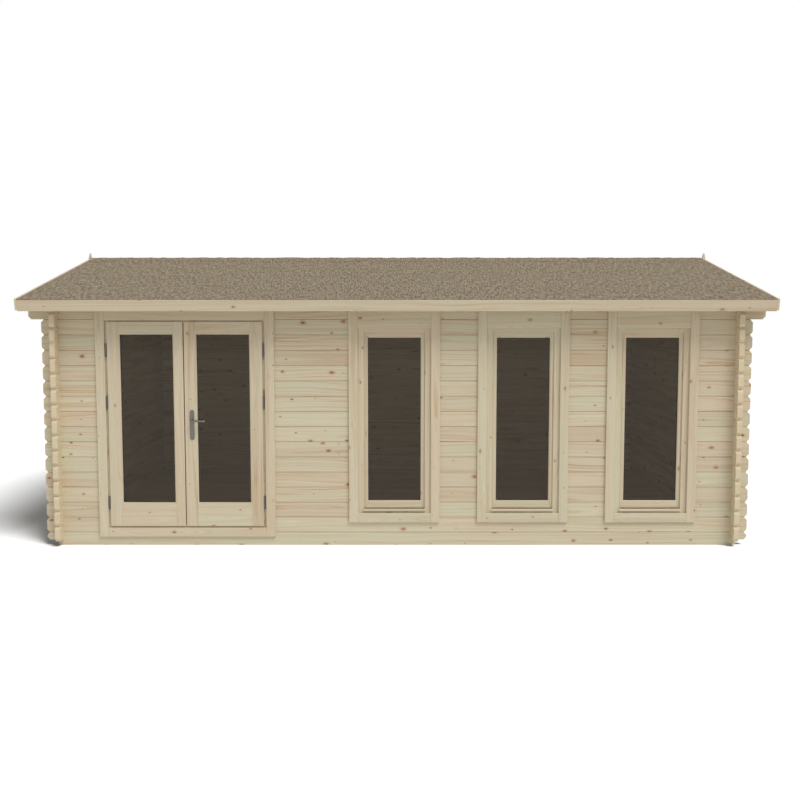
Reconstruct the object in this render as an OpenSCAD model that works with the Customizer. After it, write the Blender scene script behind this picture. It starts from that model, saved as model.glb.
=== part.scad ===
// Garden log cabin with an apex roof, a double glazed door and three tall fixed windows.
// Millimetres. +Z is up, the front faces -Y, and the origin is on the ground under the ridge.

/* [Overall size] */

// Length of the front and back wall logs, end to end
log_run_x = 6000; // [5900:10:7200]
// Length of the side wall logs, end to end
log_run_y = 4000; // [3000:10:4800]
// Height of the felt at the ridge above the ground
ridge_height = 2539; // [2510:1:2800]
// Slope of both roof halves in degrees
roof_pitch = 11.6; // [9:0.1:14]
// Reach of the eaves past the outer face of the front and back walls
eave_reach = 244; // [150:1:400]
// Reach of the roof boards past the outer face of each gable wall
verge_reach = 209; // [150:1:500]

/* [Wall logs] */

// Thickness of a wall log
log_thick = 45; // [36:1:60]
// Height of one log course
course = 130; // [126:1:134]
// Length of log that passes the outer face at each corner
log_tail = 95; // [70:1:140]
// Depth of the V joint between two logs
joint_depth = 4; // [2:0.5:7]
// Depth of the chamfer at the end of each log
end_chamfer = 22; // [8:1:28]
// Height of the chamfer at the end of each log
end_rise = 25; // [10:1:30]
// Reach of the top wall logs past the outer face of each gable wall
corbel_reach = 201; // [150:1:205]

/* [Base and floor] */

// Height of the bearers on the ground
bearer_high = 47; // [38:1:60]
// Width of the bearers
bearer_wide = 58; // [50:1:90]
// Width of a floor joist
joist_wide = 45; // [30:1:80]
// Spacing of the floor joists
joist_pitch = 575; // [400:5:700]
// Thickness of the floor boards
floor_thick = 19; // [15:1:28]
// Gap between the floor boards and the walls
floor_gap = 2; // [1:1:10]

/* [Roof] */

// Thickness of the roof boards
deck_thick = 19; // [15:1:28]
// Thickness of the mineral felt
felt_thick = 4; // [2:0.5:8]
// Thickness of the eave, verge and finial boards
trim_board = 19; // [15:1:28]
// Depth of the eave and verge boards
edge_board_deep = 96; // [80:1:130]
// Height of the verge boards above the felt
verge_lip = 3; // [0:0.5:12]
// Gap at the mitre of the verge boards
mitre_gap = 1; // [0.5:0.5:3]
// Width of a purlin
purlin_wide = 45; // [38:1:70]
// Depth of a purlin
purlin_deep = 145; // [110:1:170]
// Distance of the outer purlins from the ridge
purlin_offset = 950; // [800:10:1050]
// Width of a finial
finial_wide = 95; // [60:1:130]
// Height of the finial tip above the ridge
finial_rise = 50; // [30:1:90]
// Drop of the finial below the ridge
finial_drop = 210; // [150:1:260]

/* [Double door] */

// Position of the middle of the door along the front
door_x = -1792; // [-1820:1:-1760]
// Width over both door leaves and their meeting gap
leaves_wide = 1309; // [1200:1:1330]
// Height of the leaves' bottom edge above the ground
leaf_low = 169; // [166:1:180]
// Height of the leaves' top edge above the ground
leaf_top = 1912; // [1860:1:1914]
// Thickness of a leaf
leaf_thick = 40; // [36:1:44]
// Reach of the leaves past the outer face of the wall
leaf_proud = 18; // [17:0.5:20]
// Thickness of the lip that covers the gap round the leaves
lip_thick = 12.5; // [10:0.5:12.5]
// Reach of the lip over the jambs, head and threshold
lip_cover = 12; // [8:1:16]
// Gap between the two leaves
meeting_gap = 8; // [8:0.5:12]
// Distance of the meeting gap from the middle of the door
meeting_offset = -10; // [-15:1:15]
// Gap between the leaves and their frame
leaf_gap = 6; // [5.5:0.5:8]
// Width of the outer stiles of the leaves
stile_wide = 110; // [90:1:120]
// Width of each door glass
door_glass_wide = 444; // [400:1:460]
// Height of the bottom edge of the door glass
door_glass_low = 373; // [310:1:610]
// Height of the top edge of the door glass
door_glass_top = 1805; // [1700:1:1820]
// Thickness of the sealed glass units
glass_thick = 14; // [10:1:18]
// Depth of the grooves that hold the glass
glass_groove = 9; // [5:1:14]

/* [Door frame and trim] */

// Width of the door jambs
jamb_wide = 64; // [56:1:76]
// Depth of the door and window frames through the wall
frame_deep = 70; // [66:1:90]
// Reach of the door stops behind the leaves
stop_reach = 18; // [12:1:25]
// Thickness of the trim boards round the openings
casing_thick = 20; // [15:1:24]
// Width of the door trim boards
casing_wide = 79; // [65:1:90]
// Distance of the door trim from the jamb's inner face
casing_setback = 32; // [30:1:36]
// Height of the bottom edge of the door trim
casing_low = 76; // [60:1:90]
// Height of the top edge of all trim boards
casing_top = 2004; // [1994:1:2007]
// Height of the bottom edge of the door head trim
casing_head = 1926; // [1923:1:1934]
// Height of the top edge of the door foot trim
casing_sill = 154; // [146:1:160]

/* [Hinges and handle] */

// Radius of a hinge knuckle
knuckle_r = 7; // [5.5:0.1:7.2]
// Distance of the hinge axes from the leaf edges
hinge_offset = 8; // [7.5:0.1:8.5]
// Height of a whole hinge
hinge_long = 112; // [90:1:130]
// Height of the middle of the lowest hinges
hinge_low = 371; // [300:1:500]
// Height of the middle of the middle hinges
hinge_mid = 1232; // [900:1:1400]
// Height of the middle of the highest hinges
hinge_top = 1674; // [1500:1:1800]
// Radius of a hinge pin
pin_r = 3; // [2.5:0.1:3.5]
// Clearance round a hinge pin
pin_play = 0.08; // [0.05:0.01:0.1]
// Thickness of the hinge plates on the leaf edges
hinge_plate = 2.5; // [2:0.1:3]
// Width of the hinge brackets on the jambs
bracket_wide = 6; // [4:0.5:6.5]
// Distance of the handle from the meeting edge of its leaf
handle_inset = 60; // [50:1:70]
// Height of the lever above the ground
lever_level = 1076; // [950:1:1150]
// Width of the handle plates
handle_plate_wide = 38; // [30:1:44]
// Height of the handle plates
handle_plate_high = 256; // [200:1:280]
// Drop of the handle plates' middle below the lever
handle_plate_drop = 37; // [20:1:60]
// Thickness of the handle plates
handle_plate_thick = 5; // [3:0.5:8]
// Reach of the lever out from its plate
lever_reach = 46; // [35:1:60]
// Length of the lever grip
lever_long = 119; // [100:1:130]
// Radius of the lever grip
lever_r = 9; // [7:0.5:10]
// Radius of the lever neck
neck_r = 8; // [6:0.5:9]
// Radius of the spindle through the leaf
spindle_r = 5; // [4:0.5:6]
// Clearance round the lever neck and spindle
lever_play = 1; // [0.5:0.1:2]

/* [Windows] */

// Position of the middle of the first window along the front
window_x = -23; // [-60:1:20]
// Spacing of the windows
window_pitch = 1093; // [1050:1:1120]
// Width over the trim boards of a window
window_casing_span = 773; // [740:1:790]
// Width of the window trim boards
window_casing_wide = 76; // [60:1:85]
// Height of the bottom edge of the window trim
window_casing_low = 200; // [190:1:215]
// Height of the top edge of the bottom trim board
window_casing_sill = 281; // [274:1:287]
// Height of the bottom edge of the top trim board
window_casing_head = 1860; // [1849:1:1869]
// Width of the hole in the wall for a window
window_hole_wide = 660; // [650:1:690]
// Height of the top edge of the hole in the wall for a window
window_hole_top = 1890; // [1880:1:1909]
// Width of the light inside a window frame
frame_light_wide = 518; // [500:1:536]
// Height of the bottom edge of the light inside a window frame
frame_light_low = 316; // [309:1:329]
// Height of the top edge of the light inside a window frame
frame_light_top = 1821; // [1809:1:1834]
// Gap round a window sash
sash_gap = 5; // [3:0.5:6]
// Thickness of a window sash
sash_thick = 40; // [36:1:44]
// Distance of the sash behind the face of its frame
sash_setback = 12; // [6:0.5:14]
// Width of the window glass
window_glass_wide = 448; // [400:1:462]
// Height of the bottom edge of the window glass
window_glass_low = 385; // [359:1:409]
// Height of the top edge of the window glass
window_glass_top = 1778; // [1749:1:1789]
// Height of the drip bar under a sash
drip_high = 17; // [12:1:20]

/* [Hidden] */

half_x = log_run_x / 2;
half_y = log_run_y / 2;
face_x = half_x - log_tail;
face_y = half_y - log_tail;
inner_x = face_x - log_thick;
inner_y = face_y - log_thick;
bevel_rise = (deck_thick + felt_thick) / cos(roof_pitch);
apex = ridge_height - bevel_rise;
door_half = leaves_wide / 2;
left_edge = door_x - door_half;
right_edge = door_x + door_half;
meeting_x = door_x + meeting_offset;
rebate = lip_cover + leaf_gap;
leaf_front = -face_y - leaf_proud;
leaf_rear = leaf_front + leaf_thick;
stop_front = leaf_rear + leaf_gap;
jamb_in = door_half - lip_cover;
jamb_out = jamb_in + jamb_wide;
head_low = leaf_top - lip_cover;
head_top = head_low + jamb_wide;
threshold_top = leaf_low + lip_cover;
casing_in = jamb_in + casing_setback;
hinge_levels = [hinge_low, hinge_mid, hinge_top];
handle_x = meeting_x + meeting_gap / 2 + handle_inset;
front_joint = bearer_high + course / 2;
side_joint = bearer_high;
neck = course / 4;
corbel_course = floor((head_top - front_joint) / course);
eave_courses = ceil((apex - inner_y * tan(roof_pitch) - front_joint) / course);
gable_courses = ceil((apex - side_joint) / course) + 1;
corbel_low = front_joint + corbel_course * course;
lintel_low = corbel_low - course;
sill_top = front_joint + course;
stack_top = front_joint + eave_courses * course;
gable_top = side_joint + gable_courses * course;
floor_top = bearer_high + floor_thick;
corbel_x = face_x + corbel_reach;
verge_x = face_x + verge_reach;
felt_run = (face_y + eave_reach - (deck_thick + felt_thick) * sin(roof_pitch)) / cos(roof_pitch);
deck_run = felt_run - trim_board;
window_half = window_hole_wide / 2;
light_half = frame_light_wide / 2;
sash_half = light_half - sash_gap;
glass_half = window_glass_wide / 2;
pane_back = 13;
knuckle_gap = 1;
knuckle_cap = 3;
pin_root = 2;
pin_short = 8;
over = 1;
spare = 20;
seat = 0.05;
round_fn = 48;

function backwards(list) = [for (i = [len(list) - 1:-1:0]) list[i]];
function joints(first) = [for (i = [0:1:gable_courses]) first + i * course];
function inside(low, high, list) = [for (z = list) if (z > low + over && z < high - over) z];

// One edge of a stack of logs as [depth, height] points, notched at every joint and at both ends.
function notched(depth, rise, low, high, first) = concat(
  [[depth, low], [0, low + rise]],
  [for (z = inside(low, high, joints(first))) each [[0, z - rise], [depth, z], [0, z + rise]]],
  [[0, high - rise], [depth, high]]);
function straight(low, high) = [[0, low], [0, high]];

// A point on the roof: run down the slope from the ridge, rise square to it.
function slope(run, rise) = [-(run * cos(roof_pitch) + rise * sin(roof_pitch)),
  apex - run * sin(roof_pitch) + rise * cos(roof_pitch)];

// A point on the mitre of two verge boards, just short of the ridge line.
function at_mitre(rise) = [-mitre_gap / 2, apex + rise / cos(roof_pitch) - mitre_gap / 2 * tan(roof_pitch)];

// Extrudes a [Y, Z] outline along X.
module along_x(x0, x1) {
  translate([x0, 0, 0])
    rotate([90, 0, 90])
      linear_extrude(x1 - x0)
        children();
}

// Extrudes an [X, Z] outline along Y.
module along_y(y0, y1) {
  translate([0, y1, 0])
    rotate([90, 0, 0])
      linear_extrude(y1 - y0)
        children();
}

module block(x0, x1, y0, y1, z0, z1) {
  translate([x0, y0, z0])
    cube([x1 - x0, y1 - y0, z1 - z0]);
}

// Thickness profile of a stack of logs, centred on the wall.
module stack_section(low, high, first) {
  edge = notched(joint_depth, joint_depth, low, high, first);
  polygon(concat([for (q = edge) [-log_thick / 2 + q[0], q[1]]],
    [for (q = backwards(edge)) [log_thick / 2 - q[0], q[1]]]));
}

// Face outline of a stack of logs from a to b, with notched tails where asked.
module stack_face(a, b, low, high, first, tail_a, tail_b) {
  tail = notched(end_chamfer, end_rise, low, high, first);
  plain = straight(low, high);
  polygon(concat([for (q = tail_a ? tail : plain) [a + q[0], q[1]]],
    [for (q = backwards(tail_b ? tail : plain)) [b - q[0], q[1]]]));
}

// Holes where the logs of the crossing wall pass through, at every joint.
module crossings(at, low, high, first) {
  for (side = [-1, 1])
    for (z = joints(first))
      if (z > low - neck && z < high + neck)
        translate([side * (at - log_thick / 2) - log_thick / 2, z - neck])
          square([log_thick, 2 * neck]);
}

// Everything below the roof boards, a hair short of them.
module under_roof(reach) {
  edge = apex - log_run_y * tan(roof_pitch) - seat;
  along_x(-reach, reach)
    polygon([[-log_run_y, 0], [log_run_y, 0], [log_run_y, edge], [0, apex - seat], [-log_run_y, edge]]);
}

// A stack of logs in the front wall or, turned round, the back wall. The lowest log sits square on its bearer.
module front_stack(a, b, low, high, tail_a, tail_b) {
  foot = low > bearer_high ? low : low - joint_depth;
  intersection() {
    translate([0, -face_y + log_thick / 2, 0])
      along_x(a, b)
        stack_section(foot, high, front_joint);
    along_y(-face_y - spare, -inner_y + spare)
      difference() {
        stack_face(a, b, low, high, front_joint, tail_a, tail_b);
        crossings(face_x, low, high, front_joint);
      }
  }
}

// The two highest courses of a long wall, reaching out under the verges.
module corbel_stack() {
  intersection() {
    translate([0, -face_y + log_thick / 2, 0])
      along_x(-corbel_x, corbel_x)
        stack_section(corbel_low, stack_top, front_joint);
    along_y(-face_y - spare, -inner_y + spare)
      difference() {
        polygon([[-corbel_x + end_rise, corbel_low], [corbel_x - end_rise, corbel_low],
          [corbel_x, corbel_low + end_rise], [corbel_x, stack_top],
          [-corbel_x, stack_top], [-corbel_x, corbel_low + end_rise]]);
        crossings(face_x, corbel_low, stack_top, front_joint);
      }
    under_roof(half_x + log_run_y);
  }
}

// A gable wall as a stack of logs cut to the roof slope; side is -1 or 1.
module gable_wall(side) {
  difference() {
    intersection() {
      translate([side * (face_x - log_thick / 2), 0, 0])
        along_y(-half_y, half_y)
          stack_section(bearer_high, gable_top, side_joint);
      along_x(side * face_x - log_run_y, side * face_x + log_run_y)
        difference() {
          stack_face(-half_y, half_y, bearer_high, gable_top, side_joint, true, true);
          crossings(face_y, bearer_high, gable_top, side_joint);
        }
      under_roof(log_run_x);
    }
    purlin_bar(0);
    purlin_bar(-purlin_offset);
    purlin_bar(purlin_offset);
  }
}

// A purlin with its top cut to the roof, centred at the given distance from the ridge.
module purlin_bar(at) {
  top = apex - abs(at) * tan(roof_pitch);
  intersection() {
    block(-corbel_x, corbel_x, at - purlin_wide / 2, at + purlin_wide / 2, top - purlin_deep, top + spare);
    under_roof(log_run_x);
  }
}

// The chamfer under both ends of a purlin.
module purlin_ends(at) {
  low = apex - abs(at) * tan(roof_pitch) - purlin_deep;
  along_y(at - purlin_wide, at + purlin_wide)
    for (side = [-1, 1])
      polygon([[side * (corbel_x - end_rise - over), low - over], [side * (corbel_x + over), low - over],
        [side * (corbel_x + over), low + end_rise + over]]);
}

module purlin(at) {
  difference() {
    purlin_bar(at);
    purlin_ends(at);
  }
}

// Roof parts are drawn on the front slope.
module deck_half() {
  along_x(-verge_x, verge_x)
    polygon([[0, apex], [0, apex + deck_thick / cos(roof_pitch)], slope(deck_run, deck_thick),
      slope(deck_run, 0)]);
}

module felt_half() {
  along_x(-verge_x, verge_x)
    polygon([[0, apex + deck_thick / cos(roof_pitch)], [0, apex + bevel_rise],
      slope(felt_run, deck_thick + felt_thick), slope(felt_run, deck_thick)]);
}

module fascia_half() {
  along_x(-verge_x, verge_x)
    polygon([slope(deck_run + seat, deck_thick - seat), slope(felt_run, deck_thick - seat),
      slope(felt_run, deck_thick - edge_board_deep), slope(deck_run + seat, deck_thick - edge_board_deep)]);
}

module verge_half() {
  lip = deck_thick + felt_thick + verge_lip;
  polygon([at_mitre(lip - edge_board_deep), at_mitre(lip), slope(felt_run, lip),
    slope(felt_run, lip - edge_board_deep)]);
}

module verge_pair(x0, x1) {
  along_x(x0, x1) {
    verge_half();
    mirror([1, 0])
      verge_half();
  }
}

// Pointed board in front of the verge boards on the right gable.
module finial() {
  half = finial_wide / 2;
  tip = ridge_height + finial_rise;
  foot = ridge_height - finial_drop;
  along_x(verge_x + trim_board, verge_x + 2 * trim_board)
    polygon([[0, tip], [-half, ridge_height - half], [-half, foot + half], [0, foot], [half, foot + half],
      [half, ridge_height - half]]);
}

// A ring of frame material round a rectangular light, in the wall plane.
module ring(half_out, low_out, top_out, half_in, low_in, top_in, y0, y1) {
  difference() {
    block(-half_out, half_out, y0, y1, low_out, top_out);
    block(-half_in, half_in, y0 - over, y1 + over, low_in, top_in);
  }
}

module window_frame() {
  ring(window_half, sill_top, window_hole_top, light_half, frame_light_low, frame_light_top,
    -face_y, -face_y + frame_deep);
  ring(light_half, frame_light_low, frame_light_top, light_half - stop_reach,
    frame_light_low + stop_reach, frame_light_top - stop_reach,
    -face_y + sash_setback + sash_thick, -face_y + frame_deep);
  block(-light_half, light_half, -face_y - casing_thick, -face_y, frame_light_low - drip_high,
    frame_light_low);
}

module window_casing() {
  ring(window_casing_span / 2, window_casing_low, casing_top, window_casing_span / 2 - window_casing_wide,
    window_casing_sill, window_casing_head, -face_y - casing_thick, -face_y);
}

module window_sash() {
  difference() {
    ring(sash_half, frame_light_low + sash_gap, frame_light_top - sash_gap, glass_half, window_glass_low,
      window_glass_top, -face_y + sash_setback, -face_y + sash_setback + sash_thick);
    window_pane();
  }
}

module window_pane() {
  y0 = -face_y + sash_setback + pane_back;
  block(-glass_half - glass_groove, glass_half + glass_groove, y0, y0 + glass_thick,
    window_glass_low - glass_groove, window_glass_top + glass_groove);
}

module at_windows() {
  for (i = [0:1:2])
    translate([window_x + i * window_pitch, 0, 0])
      children();
}

// Upper part of the window holes, through the logs above the piers.
module window_holes() {
  at_windows()
    block(-window_half, window_half, -face_y - spare, -inner_y + spare, lintel_low - spare, window_hole_top);
}

// Pane of a door leaf whose glass starts at x0.
module door_pane(x0) {
  y0 = leaf_front + pane_back;
  block(x0 - glass_groove, x0 + door_glass_wide + glass_groove, y0, y0 + glass_thick,
    door_glass_low - glass_groove, door_glass_top + glass_groove);
}

// Door leaf with a lip from x0 to x1, a body from body_x0 to body_x1 and a glass that starts at glass_x.
module door_leaf(x0, x1, body_x0, body_x1, glass_x) {
  difference() {
    union() {
      block(x0, x1, leaf_front, leaf_front + lip_thick, leaf_low, leaf_top);
      block(body_x0, body_x1, leaf_front, leaf_rear, leaf_low + rebate, leaf_top - rebate);
    }
    block(glass_x, glass_x + door_glass_wide, leaf_front - over, leaf_rear + over, door_glass_low,
      door_glass_top);
    door_pane(glass_x);
  }
}

// Jamb with its stop, drawn for the left side of a door centred on zero.
module jamb() {
  block(-jamb_out, -jamb_in, -face_y, -face_y + frame_deep, front_joint, head_top);
  block(-jamb_in, -jamb_in + stop_reach, stop_front, -face_y + frame_deep, threshold_top, head_low);
}

module knuckle(z0, z1) {
  translate([0, 0, z0])
    cylinder(h = z1 - z0, r = knuckle_r, $fn = round_fn);
}

// Fixed half of a hinge about its own axis, with the pin and the bracket on the jamb, for the left side.
module hinge_fixed(level) {
  foot = level - hinge_long / 2;
  knuckle(foot, level - knuckle_gap);
  translate([0, 0, level - pin_root])
    cylinder(h = hinge_long / 2 - pin_short + pin_root, r = pin_r, $fn = round_fn);
  block(-bracket_wide, 0, 0, leaf_proud, foot, level - knuckle_gap);
}

// Moving half of a hinge about its own axis, with the plate on the leaf's edge, for the left side.
module hinge_moving(level) {
  difference() {
    union() {
      knuckle(level, level + hinge_long / 2);
      block(hinge_offset - hinge_plate, hinge_offset, 0, lip_thick, level, level + hinge_long / 2);
    }
    translate([0, 0, level - over])
      cylinder(h = hinge_long / 2 - knuckle_cap + over, r = pin_r + pin_play, $fn = round_fn);
  }
}

// Puts hinge parts drawn about their axis on the left leaf's axis.
module at_left_axis() {
  translate([left_edge - hinge_offset, leaf_front, 0])
    children();
}

module at_right_axis() {
  translate([right_edge + hinge_offset, leaf_front, 0])
    mirror([1, 0, 0])
      children();
}

// Long handle plate with round ends, its back on the given plane.
module handle_plate(y0) {
  difference() {
    along_y(y0, y0 + handle_plate_thick)
      translate([handle_x, lever_level - handle_plate_drop]) {
        square([handle_plate_wide, handle_plate_high - handle_plate_wide], center = true);
        for (side = [-1, 1])
          translate([0, side * (handle_plate_high - handle_plate_wide) / 2])
            circle(r = handle_plate_wide / 2, $fn = round_fn);
      }
    rod(handle_x, y0 - over, y0 + handle_plate_thick + over, neck_r + lever_play);
  }
}

// A round bar along Y at lever height.
module rod(x, y0, y1, r) {
  translate([x, y1, lever_level])
    rotate([90, 0, 0])
      cylinder(h = y1 - y0, r = r, $fn = round_fn);
}

// Grip of the lever at the given distance from the wall.
module grip(y) {
  translate([handle_x, y, lever_level]) {
    sphere(r = lever_r, $fn = round_fn);
    rotate([0, 90, 0])
      cylinder(h = lever_long - lever_r, r = lever_r, $fn = round_fn);
    translate([lever_long - lever_r, 0, 0])
      sphere(r = lever_r, $fn = round_fn);
  }
}

module foundation_bearers() {
  color([0.72, 0.62, 0.47])
    for (y = [-face_y, face_y - bearer_wide])
      block(-face_x, face_x, y, y + bearer_wide, 0, bearer_high);
}

module side_bearers() {
  color([0.72, 0.62, 0.47])
    for (x = [-face_x, face_x - bearer_wide])
      block(x, x + bearer_wide, -face_y + bearer_wide, face_y - bearer_wide, 0, bearer_high);
}

module floor_joists() {
  count = floor((face_x - bearer_wide - joist_wide) / joist_pitch);
  color([0.72, 0.62, 0.47])
    for (i = [-count:1:count])
      block(i * joist_pitch - joist_wide / 2, i * joist_pitch + joist_wide / 2, -face_y + bearer_wide,
        face_y - bearer_wide, 0, bearer_high);
}

module floor_deck() {
  color([0.8, 0.74, 0.6])
    block(-inner_x + floor_gap, inner_x - floor_gap, -inner_y + floor_gap, inner_y - floor_gap,
      bearer_high, floor_top);
}

module front_wall_base() {
  color([0.8, 0.75, 0.62])
    front_stack(-half_x, half_x, bearer_high, front_joint, true, true);
}

module front_wall_left() {
  color([0.8, 0.75, 0.62])
    front_stack(-half_x, door_x - jamb_out, front_joint, corbel_low, true, false);
}

module front_wall_sill() {
  color([0.8, 0.75, 0.62])
    front_stack(door_x + jamb_out, half_x, front_joint, sill_top, false, true);
}

module front_wall_piers() {
  color([0.8, 0.75, 0.62]) {
    front_stack(door_x + jamb_out, window_x - window_half, sill_top, lintel_low, false, false);
    for (i = [0, 1])
      front_stack(window_x + i * window_pitch + window_half, window_x + (i + 1) * window_pitch - window_half,
        sill_top, lintel_low, false, false);
  }
}

module front_wall_right() {
  color([0.8, 0.75, 0.62])
    front_stack(window_x + 2 * window_pitch + window_half, half_x, sill_top, lintel_low, false, true);
}

module front_wall_lintel() {
  color([0.8, 0.75, 0.62])
    difference() {
      front_stack(door_x + jamb_out, half_x, lintel_low, corbel_low, false, true);
      window_holes();
    }
}

module front_wall_top() {
  color([0.8, 0.75, 0.62])
    difference() {
      corbel_stack();
      block(door_x - jamb_out, door_x + jamb_out, -face_y - spare, -inner_y + spare, lintel_low, head_top);
      window_holes();
    }
}

module back_wall() {
  color([0.8, 0.75, 0.62])
    mirror([0, 1, 0]) {
      front_stack(-half_x, half_x, bearer_high, front_joint, true, true);
      front_stack(-half_x, half_x, front_joint, corbel_low, true, true);
    }
}

module back_wall_top() {
  color([0.8, 0.75, 0.62])
    mirror([0, 1, 0])
      corbel_stack();
}

module left_wall() {
  color([0.8, 0.75, 0.62])
    gable_wall(-1);
}

module right_wall() {
  color([0.8, 0.75, 0.62])
    gable_wall(1);
}

module ridge_purlin() {
  color([0.8, 0.73, 0.58])
    purlin(0);
}

module side_purlins() {
  color([0.8, 0.73, 0.58]) {
    purlin(-purlin_offset);
    purlin(purlin_offset);
  }
}

module roof_deck_front() {
  color([0.82, 0.75, 0.6])
    deck_half();
}

module roof_deck_back() {
  color([0.82, 0.75, 0.6])
    mirror([0, 1, 0])
      deck_half();
}

module felt_front() {
  color([0.5, 0.46, 0.38])
    felt_half();
}

module felt_back() {
  color([0.5, 0.46, 0.38])
    mirror([0, 1, 0])
      felt_half();
}

module fascia_front() {
  color([0.82, 0.77, 0.63])
    fascia_half();
}

module fascia_back() {
  color([0.82, 0.77, 0.63])
    mirror([0, 1, 0])
      fascia_half();
}

module verge_boards_left() {
  color([0.82, 0.77, 0.63])
    verge_pair(-verge_x - trim_board, -verge_x);
}

module verge_boards_right() {
  color([0.82, 0.77, 0.63])
    verge_pair(verge_x, verge_x + trim_board);
}

module gable_finials() {
  color([0.82, 0.77, 0.63]) {
    finial();
    mirror([1, 0, 0])
      finial();
  }
}

module door_jambs() {
  color([0.8, 0.74, 0.6])
    translate([door_x, 0, 0]) {
      jamb();
      mirror([1, 0, 0])
        jamb();
    }
}

module door_head() {
  color([0.8, 0.74, 0.6])
    translate([door_x, 0, 0]) {
      block(-jamb_in, jamb_in, -face_y, -face_y + frame_deep, head_low, head_top);
      block(-jamb_in + stop_reach, jamb_in - stop_reach, stop_front, -face_y + frame_deep,
        head_low - stop_reach, head_low);
    }
}

module door_threshold() {
  color([0.78, 0.71, 0.56])
    translate([door_x, 0, 0])
      block(-jamb_in, jamb_in, -face_y, -face_y + frame_deep, front_joint, threshold_top);
}

module door_casing_sides() {
  color([0.82, 0.77, 0.63])
    translate([door_x, 0, 0])
      for (x = [-casing_in - casing_wide, casing_in])
        block(x, x + casing_wide, -face_y - casing_thick, -face_y, casing_low, casing_top);
}

module door_casing_head() {
  color([0.82, 0.77, 0.63])
    translate([door_x, 0, 0])
      block(-casing_in, casing_in, -face_y - casing_thick, -face_y, casing_head, casing_top);
}

module door_casing_foot() {
  color([0.82, 0.77, 0.63])
    translate([door_x, 0, 0])
      block(-casing_in, casing_in, -face_y - casing_thick, -face_y, casing_low, casing_sill);
}

module window_frames() {
  color([0.8, 0.74, 0.6])
    at_windows()
      window_frame();
}

module window_casings() {
  color([0.82, 0.77, 0.63])
    at_windows()
      window_casing();
}

module window_sashes() {
  color([0.82, 0.76, 0.61])
    at_windows()
      window_sash();
}

module window_glass() {
  color([0.25, 0.23, 0.2, 0.5])
    at_windows()
      window_pane();
}

module left_leaf() {
  color([0.82, 0.76, 0.61])
    door_leaf(left_edge, meeting_x - meeting_gap / 2, left_edge + rebate, meeting_x - meeting_gap / 2,
      left_edge + stile_wide);
}

module left_leaf_glass() {
  color([0.25, 0.23, 0.2, 0.5])
    door_pane(left_edge + stile_wide);
}

module right_leaf() {
  color([0.82, 0.76, 0.61])
    difference() {
      door_leaf(meeting_x + meeting_gap / 2, right_edge, meeting_x + meeting_gap / 2, right_edge - rebate,
        right_edge - stile_wide - door_glass_wide);
      rod(handle_x, leaf_front - over, leaf_rear + over, neck_r + lever_play);
    }
}

module right_leaf_glass() {
  color([0.25, 0.23, 0.2, 0.5])
    door_pane(right_edge - stile_wide - door_glass_wide);
}

module frame_hinges() {
  color([0.5, 0.5, 0.5])
    for (level = hinge_levels) {
      at_left_axis()
        hinge_fixed(level);
      at_right_axis()
        hinge_fixed(level);
    }
}

module left_leaf_hinges() {
  color([0.5, 0.5, 0.5])
    at_left_axis()
      for (level = hinge_levels)
        hinge_moving(level);
}

module right_leaf_hinges() {
  color([0.5, 0.5, 0.5])
    at_right_axis()
      for (level = hinge_levels)
        hinge_moving(level);
}

module handle_plates() {
  color([0.6, 0.6, 0.6])
    union() {
      handle_plate(leaf_front - handle_plate_thick);
      handle_plate(leaf_rear);
    }
}

module lever_handle() {
  out_y = leaf_front - handle_plate_thick - lever_reach;
  in_y = leaf_rear + handle_plate_thick + lever_reach;
  color([0.6, 0.6, 0.6])
    union() {
      rod(handle_x, out_y, leaf_front, neck_r);
      rod(handle_x, leaf_front - over, leaf_rear + over, spindle_r);
      rod(handle_x, leaf_rear, in_y, neck_r);
      grip(out_y);
      grip(in_y);
    }
}

foundation_bearers();
side_bearers();
floor_joists();
floor_deck();
front_wall_base();
front_wall_left();
front_wall_sill();
front_wall_piers();
front_wall_right();
front_wall_lintel();
front_wall_top();
back_wall();
back_wall_top();
left_wall();
right_wall();
ridge_purlin();
side_purlins();
roof_deck_front();
roof_deck_back();
felt_front();
felt_back();
fascia_front();
fascia_back();
verge_boards_left();
verge_boards_right();
gable_finials();
door_jambs();
door_head();
door_threshold();
door_casing_sides();
door_casing_head();
door_casing_foot();
window_frames();
window_casings();
window_sashes();
window_glass();
left_leaf();
left_leaf_glass();
right_leaf();
right_leaf_glass();
frame_hinges();
left_leaf_hinges();
right_leaf_hinges();
handle_plates();
lever_handle();
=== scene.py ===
"""Looks of a garden log cabin: pine logs, a felt roof, a glazed double door and three windows."""
import math
import random

import bmesh
import bpy
import numpy as np
from mathutils import Matrix, Vector


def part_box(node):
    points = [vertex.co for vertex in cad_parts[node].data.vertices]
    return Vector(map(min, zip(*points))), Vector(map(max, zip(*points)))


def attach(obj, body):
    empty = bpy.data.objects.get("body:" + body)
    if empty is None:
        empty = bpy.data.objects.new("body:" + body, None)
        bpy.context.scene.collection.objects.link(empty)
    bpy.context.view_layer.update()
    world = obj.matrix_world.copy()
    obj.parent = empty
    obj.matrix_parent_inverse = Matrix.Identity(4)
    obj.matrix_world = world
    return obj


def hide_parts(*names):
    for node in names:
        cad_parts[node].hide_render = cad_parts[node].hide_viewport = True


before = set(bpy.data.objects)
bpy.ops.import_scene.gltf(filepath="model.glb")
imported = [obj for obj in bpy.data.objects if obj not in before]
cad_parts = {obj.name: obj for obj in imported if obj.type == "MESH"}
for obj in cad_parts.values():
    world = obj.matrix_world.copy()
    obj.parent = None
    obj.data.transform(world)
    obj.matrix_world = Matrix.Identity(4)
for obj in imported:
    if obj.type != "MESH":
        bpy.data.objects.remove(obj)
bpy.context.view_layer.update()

X, Y = Vector((1, 0, 0)), Vector((0, 1, 0))

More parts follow.
